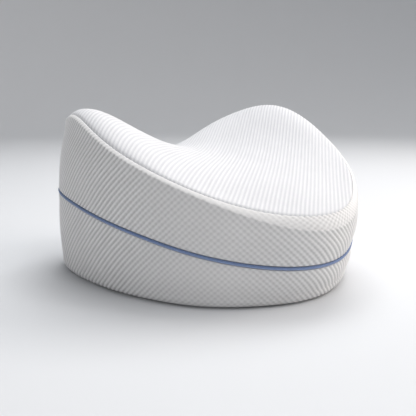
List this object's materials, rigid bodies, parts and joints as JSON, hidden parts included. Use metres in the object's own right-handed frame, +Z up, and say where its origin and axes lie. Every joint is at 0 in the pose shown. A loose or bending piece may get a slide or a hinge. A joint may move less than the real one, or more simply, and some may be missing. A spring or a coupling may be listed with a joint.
{
  "type": "knee pillow",
  "caption": "Heart-shaped saddle cushion with a flat base, tall lobes, a low nose and a trough between the lobes for a leg, with piping round its side.",
  "frame": {"origin": "on the surface that the flat base rests on, under the middle of the pillow's bounding box", "axes": "+Z up, -Y towards the low nose, +Y towards the notch between the lobes, X across the two lobes"},
  "size_m": [0.2506, 0.2466, 0.1427],
  "materials": {
    "top_knit": "ribbed white knit, matt with a soft sheen",
    "side_knit": "off-white raised diamond knit, matt",
    "piping_cloth": "slate blue woven piping, matt"
  },
  "bodies": {
    "root": {"lower_side": "side_knit", "side_piping": "piping_cloth", "upper_side": "side_knit", "top_panel": "top_knit"}
  },
  "joints": []
}
